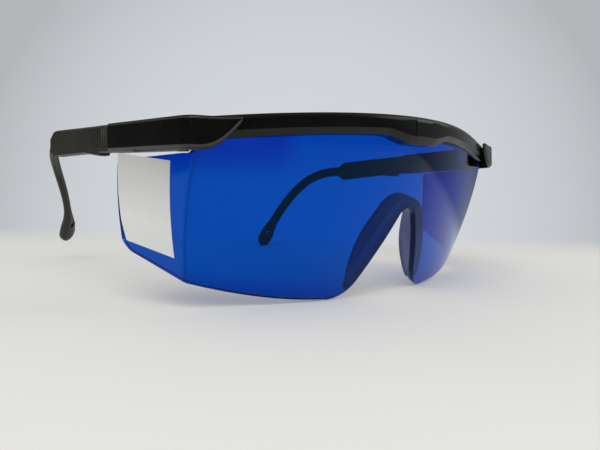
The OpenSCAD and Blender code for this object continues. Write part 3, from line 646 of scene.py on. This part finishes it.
def lens_material(settings):
    """Clear tinted plastic, darker at the lower edge and the cut edges, with painted shade under the bar at
    the upper sides and a painted dark line along the corner fold; the light that passes to the table has a
    colour of its own."""
    m = Nodes("Tinted lens")
    red, green, blue = settings.tint
    # Painted shade: the upper sides under the bar are darker, by the upper mask.
    body = m.blend(m.attribute("upper"), rgba(settings.tint), (red, green * 0.4, blue * 0.84, 1.0))
    low = m.spread(m.attribute("height"), 0.0, 1.0, 0.88, 0.99)
    body = m.blend(low, body, (red, green * 0.66, blue * 0.95, 1.0))
    # The cut edges take the edge tint, and the corner fold gets a painted dark line in it.
    edges_and_fold_shade = m.add("ShaderNodeMath", {0: m.attribute("rim"), 1: m.attribute("painted_fold_line")},
                   operation="MAXIMUM").outputs[0]
    rough = m.spread(m.noise(60), settings.roughness * 0.6, settings.roughness * 1.3)
    m.principled(Base_Color=m.blend(edges_and_fold_shade, body, rgba(settings.edge_tint_and_fold_shade)), Roughness=rough, IOR=1.38,
                 Transmission_Weight=1.0, Specular_Tint=FRONT_GLINT,
                 Normal=m.bump(m.noise(25, 1.0), 0.03, 0.001))
    shade = m.add("ShaderNodeBsdfTransparent", {"Color": LIGHT_THROUGH})
    lamp = m.add("ShaderNodeLightPath")
    mix = m.add("ShaderNodeMixShader", {0: lamp.outputs["Is Shadow Ray"], 1: m.shader.outputs[0],
                                        2: shade.outputs[0]})
    m.tree.links.new(mix.outputs[0], m.output.inputs["Surface"])
    return m.material


def flange_material(settings):
    """Smoky blue plastic, half clear, a little uneven in depth of colour."""
    m = Nodes("Smoky flange")
    colour = m.blend(m.spread(m.noise(90), 0.0, 1.0), rgba(settings.colour, 0.8), rgba(settings.colour, 1.25))
    m.principled(Base_Color=colour, Roughness=m.spread(m.noise(200), 0.16, 0.26), IOR=1.5,
                 Transmission_Weight=0.75, Normal=m.bump(m.noise(120), 0.08, 0.0006))
    return m.material


def moulded_material(name, colour, rough_low, rough_high, grain=0.05):
    """Injection-moulded plastic: fine grain, slow gloss changes and faint dust on a near-black body."""
    m = Nodes(name)
    slow = m.noise(55, 4.0)
    fine = m.noise(2600, 2.0, 0.6)
    dust = m.spread(m.noise(900, 1.0), 0.0, 1.0, 0.66, 0.78)
    body = m.blend(m.spread(slow, 0.0, 1.0), rgba(colour, 0.82), rgba(colour, 1.2))
    dusted = m.add("ShaderNodeMath", {0: dust, 1: 0.25}, operation="MULTIPLY").outputs[0]
    m.principled(Base_Color=m.blend(dusted, body, rgba([c + 0.03 for c in colour])), Specular_IOR_Level=0.3,
                 Roughness=m.spread(slow, rough_low, rough_high), Normal=m.bump(fine, grain, 0.00012))
    return m.material


def steel_material(settings):
    """Turned steel: rings of fine scratches across the pin and slightly uneven gloss."""
    m = Nodes("Turned steel")
    rings = m.noise(1400, 2.0, 0.5, (1, 1, 6))
    colour = m.blend(m.spread(rings, 0.0, 1.0), rgba(settings.steel, 0.8), rgba(settings.steel))
    m.principled(Base_Color=colour, Metallic=1.0, Roughness=m.spread(rings, 0.22, 0.38),
                 Normal=m.bump(rings, 0.1, 0.0001))
    return m.material


def label_material(settings):
    """Coated paper under a satin film: faint fibres and gloss changes, and painted shade on its upper end."""
    m = Nodes("Bare label")
    place = m.add("ShaderNodeUVMap", uv_map="sheet")
    split = m.add("ShaderNodeSeparateXYZ", {"Vector": place.outputs[0]})
    # Painted shade: the upper end of the label is darker.
    fall = m.spread(split.outputs["Y"], 0.68, 1.0, 0.0, 0.7)
    fibre = m.spread(m.noise(700, 4.0, 0.6), 0.97, 1.0)
    level = m.add("ShaderNodeMath", {0: fall, 1: fibre}, operation="MULTIPLY").outputs[0]
    m.principled(Base_Color=m.blend(level, (0.0, 0.0, 0.0, 1.0), rgba(settings.colour)),
                 Roughness=m.spread(m.noise(140), 0.42, 0.55), Normal=m.bump(m.noise(160, 3.0), 0.1, 0.0004))
    return m.material


def floor_material(settings, ahead, near, far):
    """Pale matt table top that fades out beyond a line across the view, where the backdrop shows instead."""
    m = Nodes("Table top")
    place = m.add("ShaderNodeTexCoord")
    reach = m.add("ShaderNodeVectorMath", {0: place.outputs["Object"], 1: (*ahead, 0.0)},
                  operation="DOT_PRODUCT")
    fade = m.add("ShaderNodeMapRange", {"Value": reach.outputs["Value"], "From Min": near, "From Max": far},
                 interpolation_type="SMOOTHSTEP").outputs["Result"]
    m.principled(Base_Color=m.blend(m.spread(m.noise(9, 3.0), 0.0, 1.0), rgba(settings.floor, 0.985),
                                    rgba(settings.floor, 1.01)), Roughness=0.75)
    clear = m.add("ShaderNodeBsdfTransparent")
    mix = m.add("ShaderNodeMixShader", {0: fade, 1: m.shader.outputs[0], 2: clear.outputs[0]})
    m.tree.links.new(mix.outputs[0], m.output.inputs["Surface"])
    return m.material


def dress(piece, material, body, edges=None):
    """Gives a piece its material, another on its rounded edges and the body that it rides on."""
    piece.data.materials.clear()
    piece.data.materials.append(material)
    if edges:
        piece.data.materials.append(edges)
    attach(piece, body)


# Operators

class GLASSES_OT_lens(bpy.types.Operator):
    """Build the one-piece lens with its side shields, and the nose flange"""

    bl_idname = "glasses.lens"
    bl_label = "Lens and nose flange"

    def execute(self, context):
        settings, flange = context.scene.glasses_lens, context.scene.glasses_flange
        piece = lens_piece(settings)
        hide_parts("lens")
        dress(piece, lens_material(settings), "front")
        piece = flange_piece(flange, settings.thickness * 1e3)
        dress(piece, flange_material(flange), "front")
        return {"FINISHED"}


class GLASSES_OT_label(bpy.types.Operator):
    """Build the bare label on the right side shield"""

    bl_idname = "glasses.label"
    bl_label = "Bare label"

    def execute(self, context):
        settings = context.scene.glasses_label
        piece = label_piece(settings, context.scene.glasses_lens.fold * 1e3)
        dress(piece, label_material(settings), "front")
        return {"FINISHED"}


class GLASSES_OT_mouldings(bpy.types.Operator):
    """Build the brow bar, temple sleeves and ear pieces with rounded edges"""

    bl_idname = "glasses.mouldings"
    bl_label = "Moulded pieces"

    def execute(self, context):
        settings = context.scene.glasses_mouldings
        black = moulded_material("Black moulding", settings.black, 0.14, 0.22)
        brown = moulded_material("Brown black moulding", settings.brown, 0.3, 0.42, 0.1)
        # The edge materials paint a highlight on the rounded edges of the sleeves and ear pieces.
        black_highlight_edge = moulded_material("Black edge painted highlight", settings.highlight_black, 0.16, 0.26)
        brown_highlight_edge = moulded_material("Brown edge painted highlight", settings.highlight_brown, 0.22, 0.34)
        bar = bar_piece(settings.edge * 1e3)
        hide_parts("brow_bar")
        dress(bar, black, "front")
        for side, sign in (("right", -1), ("left", 1)):
            dress(lug_piece("Lug_" + side, sign, settings.edge * 1e3), black, "front")
            sleeve = refined("temple_sleeve_" + side, "Temple_sleeve_" + side,
                             settings.edge * SLEEVE_ROUNDING)
            dress(sleeve, black, "sleeve_" + side, black_highlight_edge)
            ear = refined("ear_piece_" + side, "Ear_piece_" + side, settings.edge * EAR_ROUNDING)
            dress(ear, brown, "ear_" + side, brown_highlight_edge)
        return {"FINISHED"}


class GLASSES_OT_hinges(bpy.types.Operator):
    """Round the hinge blocks and give the steel pins their finish"""

    bl_idname = "glasses.hinges"
    bl_label = "Hinge blocks and pins"

    def execute(self, context):
        settings = context.scene.glasses_mouldings
        block = moulded_material("Hinge block moulding", settings.black, 0.34, 0.46)
        steel = steel_material(settings)
        for side in ("right", "left"):
            piece = refined("hinge_block_" + side, "Hinge_block_" + side, settings.edge * HINGE_ROUNDING)
            dress(piece, block, "hinge_" + side, block)
            for pin in ("pitch_pin_" + side, "fold_pin_" + side):
                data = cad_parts[pin].data
                data.materials.clear()
                data.materials.append(steel)
        return {"FINISHED"}


# Stage, in metres and radians
VIEW_TURN = (0.74973, -0.07525, 0.02381)
VIEW_PLACE = (-0.152075, -0.182369, 0.036737)
VIEW_LENS = 34.56
TABLE_HALF = 3.0
TABLE_LEVEL = -5e-5
TABLE_FADE = (0.30, 0.42)
LIT_POINT = (0, 0, 0.03)
PALE_SIDE = (0.9, 0.436, 0.0)
DOME_COLOUR = (0.95, 0.97, 1.0, 1.0)
MIRRORED_DARK = (0.065, 0.066, 0.07)
MIRRORED_PALE = (0.27, 0.29, 0.28)


def view_axes(yaw, pitch, roll):
    """Right, up and forward of the camera from its turn about the upright, its tilt and its roll."""
    ahead = np.array([math.sin(yaw) * math.cos(pitch), math.cos(yaw) * math.cos(pitch), math.sin(pitch)])
    right = np.array([math.cos(yaw), -math.sin(yaw), 0.0])
    up = np.cross(right, ahead)
    turned = (math.cos(roll) * right + math.sin(roll) * up, -math.sin(roll) * right + math.cos(roll) * up)
    return (*turned, ahead)


def placed(axes, place):
    """Matrix of an object at place, with its three axes as the columns of axes."""
    return Matrix([[*row, p] for row, p in zip(axes.tolist(), place)] + [[0, 0, 0, 1]])


def lamp(name, place, target, size, power):
    """Square soft light at place, facing target."""
    data = bpy.data.lights.new(name, "AREA")
    data.shape, data.size, data.energy = "SQUARE", size, power
    light = bpy.data.objects.new(name, data)
    back = np.array(place, float) - np.array(target, float)
    back /= np.linalg.norm(back)
    side = np.cross([0, 0, 1.0], back)
    side /= np.linalg.norm(side)
    light.matrix_world = placed(np.stack([side, np.cross(back, side), back], 1), place)
    bpy.context.scene.collection.objects.link(light)


class GLASSES_OT_stage(bpy.types.Operator):
    """Build the table top, backdrop, lights and camera"""

    bl_idname = "glasses.stage"
    bl_label = "Stage and camera"

    def execute(self, context):
        scene, settings = context.scene, context.scene.glasses_stage
        right, up, ahead = view_axes(*VIEW_TURN)
        data = bpy.data.cameras.new("View")
        data.sensor_width, data.lens, data.clip_start = 36.0, VIEW_LENS, 0.005
        camera = bpy.data.objects.new("View", data)
        camera.matrix_world = placed(np.stack([right, up, -ahead], 1), VIEW_PLACE)
        scene.collection.objects.link(camera)
        scene.camera = camera
        mesh = bpy.data.meshes.new("Table_top")
        square = ((-1, -1), (1, -1), (1, 1), (-1, 1))
        corners = [(x * TABLE_HALF, y * TABLE_HALF, TABLE_LEVEL) for x, y in square]
        mesh.from_pydata(corners, [], [(0, 1, 2, 3)])
        floor = bpy.data.objects.new("Table_top", mesh)
        level = ahead[:2] / np.linalg.norm(ahead[:2])
        near, far = float(level @ np.array(VIEW_PLACE[:2])) + np.array(TABLE_FADE)
        floor.data.materials.append(floor_material(settings, level, float(near), float(far)))
        scene.collection.objects.link(floor)
        lamp("Key", (-0.55, -0.45, 0.75), LIT_POINT, 1.0, settings.key)
        lamp("Fill", (0.75, -0.55, 0.55), LIT_POINT, 0.7, settings.fill)
        world = bpy.data.worlds.new("Room")
        world.use_nodes = True
        tree = world.node_tree
        tree.nodes.clear()
        out = tree.nodes.new("ShaderNodeOutputWorld")
        room = Nodes.of(tree)
        way = room.add("ShaderNodeTexCoord").outputs["Generated"]

        def along(axis):
            share = room.add("ShaderNodeVectorMath", {0: way, 1: tuple(axis)}, operation="DOT_PRODUCT")
            return share.outputs["Value"]

        dome = room.add("ShaderNodeBackground", {"Color": DOME_COLOUR, "Strength": settings.dome})
        pale = room.spread(along(PALE_SIDE), 0.0, 1.0, 0.1, 0.65)
        mirrored = room.add("ShaderNodeBackground", {"Color": room.blend(pale, rgba(MIRRORED_DARK),
                                                                         rgba(MIRRORED_PALE))})
        facing = room.add("ShaderNodeMath", {0: along(ahead)}, operation="ABSOLUTE").outputs[0]
        aside = room.spread(facing, 0.0, 1.0, 1.0, 0.865)
        fall = room.add("ShaderNodeMath", {0: aside, 1: 2.0}, operation="POWER").outputs[0]
        seen = room.add("ShaderNodeBackground", {"Color": room.blend(fall, rgba(settings.backdrop),
                                                                     rgba(settings.backdrop, 0.7))})
        path = room.add("ShaderNodeLightPath")
        first = room.add("ShaderNodeMixShader", {0: path.outputs["Is Glossy Ray"], 1: dome.outputs[0],
                                                 2: mirrored.outputs[0]})
        direct = room.add("ShaderNodeMath", {0: path.outputs["Is Camera Ray"],
                                             1: path.outputs["Is Transmission Ray"]},
                          operation="MAXIMUM").outputs[0]
        mix = room.add("ShaderNodeMixShader", {0: direct, 1: first.outputs[0], 2: seen.outputs[0]})
        tree.links.new(mix.outputs[0], out.inputs[0])
        scene.world = world
        scene.view_settings.view_transform = "Standard"
        return {"FINISHED"}


class GLASSES_PT_panel(bpy.types.Panel):
    """Lists the glasses' settings and build steps"""

    bl_idname = "GLASSES_PT_panel"
    bl_label = "Laser safety glasses"
    bl_space_type = "VIEW_3D"
    bl_region_type = "UI"
    bl_category = "Glasses"

    def draw(self, context):
        for group, operators in STEPS:
            box = self.layout.box()
            settings = getattr(context.scene, group)
            for name in settings.__class__.__annotations__:
                box.prop(settings, name)
            for operator in operators:
                box.operator(operator)


STEPS = (
    ("glasses_lens", ("glasses.lens",)),
    ("glasses_flange", ()),
    ("glasses_label", ("glasses.label",)),
    ("glasses_mouldings", ("glasses.mouldings", "glasses.hinges")),
    ("glasses_stage", ("glasses.stage",)),
)
GROUPS = {"glasses_lens": LensSettings, "glasses_flange": FlangeSettings, "glasses_label": LabelSettings,
          "glasses_mouldings": MouldingSettings, "glasses_stage": StageSettings}
CLASSES = (*GROUPS.values(), GLASSES_OT_lens, GLASSES_OT_label, GLASSES_OT_mouldings, GLASSES_OT_hinges,
           GLASSES_OT_stage, GLASSES_PT_panel)


def register():
    for cls in CLASSES:
        bpy.utils.register_class(cls)
    for name, group in GROUPS.items():
        setattr(bpy.types.Scene, name, PointerProperty(type=group))


def unregister():
    for name in GROUPS:
        delattr(bpy.types.Scene, name)
    for cls in reversed(CLASSES):
        bpy.utils.unregister_class(cls)


def main():
    register()
    bpy.ops.glasses.lens()
    bpy.ops.glasses.label()
    bpy.ops.glasses.mouldings()
    bpy.ops.glasses.hinges()
    bpy.ops.glasses.stage()


if __name__ == "__main__":
    main()
